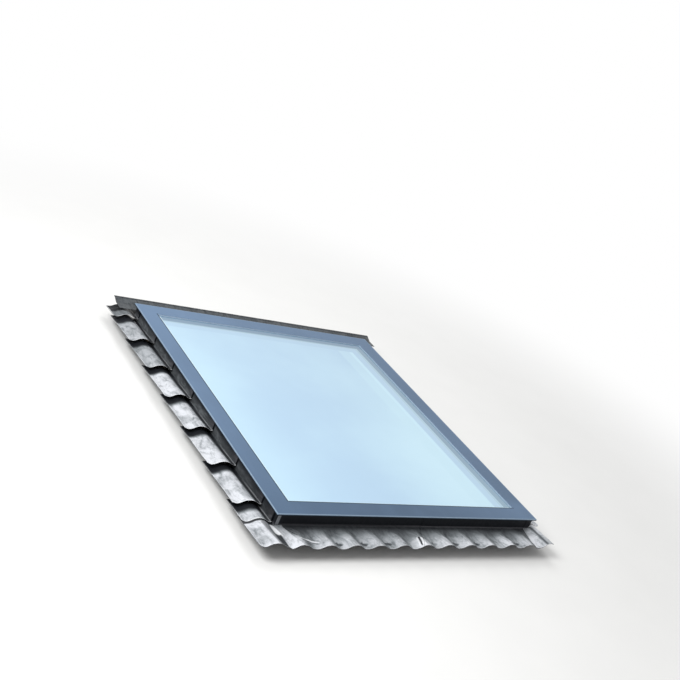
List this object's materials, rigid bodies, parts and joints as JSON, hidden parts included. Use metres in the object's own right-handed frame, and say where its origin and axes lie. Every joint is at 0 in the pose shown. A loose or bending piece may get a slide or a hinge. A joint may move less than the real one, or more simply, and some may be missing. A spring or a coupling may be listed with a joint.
{
  "type": "roof skylight",
  "caption": "Fixed flat roof skylight: mitred metal frame with a sealed glass unit on a timber kerb, with lapped lead soakers, a rolled lead apron and a back gutter.",
  "frame": {"origin": "middle of the whole footprint, lead flashings included, on the kerb's underside", "axes": "+Z out of the roof through the glass, +Y up the slope, +X to the right seen from outside"},
  "size_m": [1.926, 2.358, 0.145],
  "materials": {
    "kerb_timber": "planed softwood",
    "foam_seal": "closed-cell foam",
    "coated_frame": "satin powder coat on aluminium",
    "cast_cleat": "as cast",
    "glass": "clear float glass",
    "spacer": "mill finish",
    "rubber_seal": "matt black",
    "block_plastic": "moulded",
    "screw_steel": "zinc plated",
    "copper_nail": "copper",
    "lead_sheet": "weathered lead sheet"
  },
  "bodies": {
    "root": {"apron_corner_left": "lead_sheet", "apron_corner_right": "lead_sheet", "apron_left": "lead_sheet", "apron_right": "lead_sheet", "back_gutter": "lead_sheet", "base_bar_bottom": "coated_frame", "base_bar_left": "coated_frame", "base_bar_right": "coated_frame", "base_bar_top": "coated_frame", "corner_cleat_bottom_left": "cast_cleat", "corner_cleat_bottom_right": "cast_cleat", "corner_cleat_top_left": "cast_cleat", "corner_cleat_top_right": "cast_cleat", "cover_bar_bottom": "coated_frame", "cover_bar_left": "coated_frame", "cover_bar_right": "coated_frame", "cover_bar_top": "coated_frame", "edge_seal": "rubber_seal", "frame_screws": "screw_steel", "inner_gasket": "rubber_seal", "inner_pane": "glass", "kerb_board_bottom": "kerb_timber", "kerb_board_left": "kerb_timber", "kerb_board_right": "kerb_timber", "kerb_board_top": "kerb_timber", "kerb_screws": "screw_steel", "kerb_seal": "foam_seal", "lead_nails": "copper_nail", "left_soaker_1": "lead_sheet", "left_soaker_2": "lead_sheet", "left_soaker_3": "lead_sheet", "left_soaker_4": "lead_sheet", "left_soaker_5": "lead_sheet", "left_soaker_6": "lead_sheet", "left_soaker_7": "lead_sheet", "outer_gasket": "rubber_seal", "outer_pane": "glass", "right_soaker_1": "lead_sheet", "right_soaker_2": "lead_sheet", "right_soaker_3": "lead_sheet", "right_soaker_4": "lead_sheet", "right_soaker_5": "lead_sheet", "right_soaker_6": "lead_sheet", "right_soaker_7": "lead_sheet", "setting_blocks": "block_plastic", "spacer_bar": "spacer", "upper_corner_left": "lead_sheet", "upper_corner_right": "lead_sheet"}
  },
  "joints": []
}
